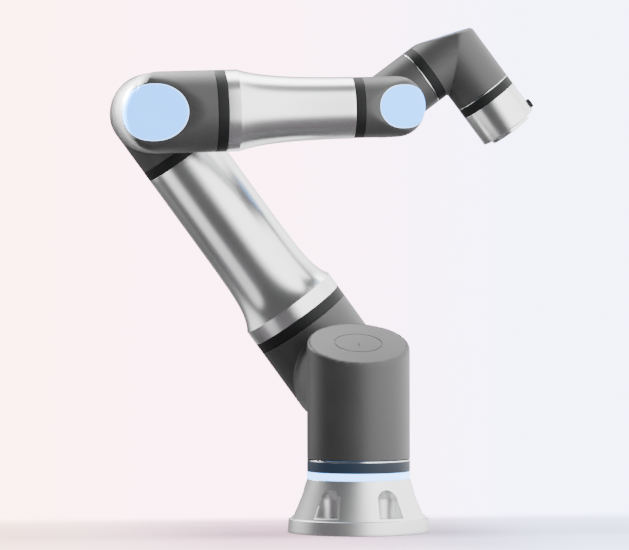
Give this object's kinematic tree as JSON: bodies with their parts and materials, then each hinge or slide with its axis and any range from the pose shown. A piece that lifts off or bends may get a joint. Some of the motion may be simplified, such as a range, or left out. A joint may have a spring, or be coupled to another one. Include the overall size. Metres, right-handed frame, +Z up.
{
  "type": "collaborative robot arm",
  "caption": "Collaborative robot arm with rounded grey castings, bare aluminium tubes, light blue covers and a lit ring on its flared foot.",
  "frame": {"origin": "centre of the foot's underside, on the base joint's axis", "axes": "+Z up along the base joint's axis; the arm's links lie in planes along X and Z; the shoulder, elbow and first wrist axes are parallel to +Y"},
  "size_m": [0.6267, 0.368, 0.7302],
  "materials": {
    "coated_casting": "matt grey powder coat on cast aluminium",
    "grey_cover": "satin grey",
    "blue_cover": "satin light blue",
    "black_ring": "matt black",
    "bare_aluminium": "satin, fine turned",
    "polished_trim": "bright turned",
    "light_diffuser": "translucent light ring, lit pale blue",
    "winding_copper": "wound copper and laminations",
    "rotor_steel": "ground steel",
    "gear_steel": "machined steel",
    "circuit_board": "solder mask"
  },
  "bodies": {
    "base": {"base_foot": "bare_aluminium", "base_cable_socket": "black_ring", "base_light_ring": "light_diffuser", "base_seal_ring": "black_ring", "base_trim_ring": "polished_trim"},
    "shoulder": {"shoulder_housing": "coated_casting", "shoulder_cover": "grey_cover", "base_joint_motor_stator": "winding_copper", "base_joint_rotor_shaft": "rotor_steel", "base_joint_strain_wave_gear": "gear_steel", "base_joint_control_board": "circuit_board"},
    "upper_arm": {"upper_arm_shoulder_housing": "coated_casting", "upper_arm_shoulder_cover": "blue_cover", "shoulder_joint_motor_stator": "winding_copper", "shoulder_joint_rotor_shaft": "rotor_steel", "shoulder_joint_strain_wave_gear": "gear_steel", "shoulder_joint_control_board": "circuit_board", "upper_arm_lower_clamp_ring": "black_ring", "upper_arm_tube": "bare_aluminium", "upper_arm_upper_clamp_ring": "black_ring", "upper_arm_elbow_housing": "coated_casting", "upper_arm_elbow_cover": "blue_cover", "elbow_joint_motor_stator": "winding_copper", "elbow_joint_rotor_shaft": "rotor_steel", "elbow_joint_strain_wave_gear": "gear_steel", "elbow_joint_control_board": "circuit_board"},
    "forearm": {"forearm_elbow_housing": "coated_casting", "forearm_elbow_cover": "blue_cover", "forearm_lower_clamp_ring": "black_ring", "forearm_tube": "bare_aluminium", "forearm_upper_clamp_ring": "black_ring", "forearm_wrist_housing": "coated_casting", "forearm_wrist_cover": "blue_cover", "wrist_1_joint_motor_stator": "winding_copper", "wrist_1_joint_rotor_shaft": "rotor_steel", "wrist_1_joint_strain_wave_gear": "gear_steel", "wrist_1_joint_control_board": "circuit_board"},
    "wrist_1": {"wrist_1_housing": "coated_casting", "wrist_1_cover": "blue_cover", "wrist_2_joint_motor_stator": "winding_copper", "wrist_2_joint_rotor_shaft": "rotor_steel", "wrist_2_joint_strain_wave_gear": "gear_steel", "wrist_2_joint_control_board": "circuit_board"},
    "wrist_2": {"wrist_2_trim_ring": "polished_trim", "wrist_2_seal_ring": "black_ring", "wrist_2_housing": "coated_casting", "wrist_2_cover": "blue_cover", "wrist_3_joint_motor_stator": "winding_copper", "wrist_3_joint_rotor_shaft": "rotor_steel", "wrist_3_joint_strain_wave_gear": "gear_steel", "wrist_3_joint_control_board": "circuit_board"},
    "wrist_3": {"wrist_3_trim_ring": "polished_trim", "wrist_3_seal_ring": "black_ring", "tool_flange": "bare_aluminium", "tool_connector": "black_ring"}
  },
  "joints": [
    {"name": "base_joint", "type": "hinge", "parent": "base", "child": "shoulder", "pos_m": [0, 0, 0.105], "axis": [0, 0, 1], "range_deg": [-367.7, 352.3]},
    {"name": "shoulder_joint", "type": "hinge", "parent": "shoulder", "child": "upper_arm", "pos_m": [0, 0.1, 0.2186], "axis": [0, 1, 0], "range_deg": [-233.9, 486.1]},
    {"name": "elbow_joint", "type": "hinge", "parent": "upper_arm", "child": "forearm", "pos_m": [-0.27987, 0.1, 0.6024], "axis": [0, 1, 0], "range_deg": [-269.7, 20.3]},
    {"name": "wrist_1_joint", "type": "hinge", "parent": "forearm", "child": "wrist_1", "pos_m": [0.05903, 0.11, 0.61056], "axis": [0, 1, 0], "range_deg": [-190, 95]},
    {"name": "wrist_2_joint", "type": "hinge", "parent": "wrist_1", "child": "wrist_2", "pos_m": [0.16814, 0.1824, 0.69191], "axis": [0.8017, 0, 0.5978], "range_deg": [-270, 450]},
    {"name": "wrist_3_joint", "type": "hinge", "parent": "wrist_2", "child": "wrist_3", "pos_m": [0.16814, 0.1824, 0.69191], "axis": [0.5978, 0, -0.8017], "range_deg": [-360, 360]}
  ]
}
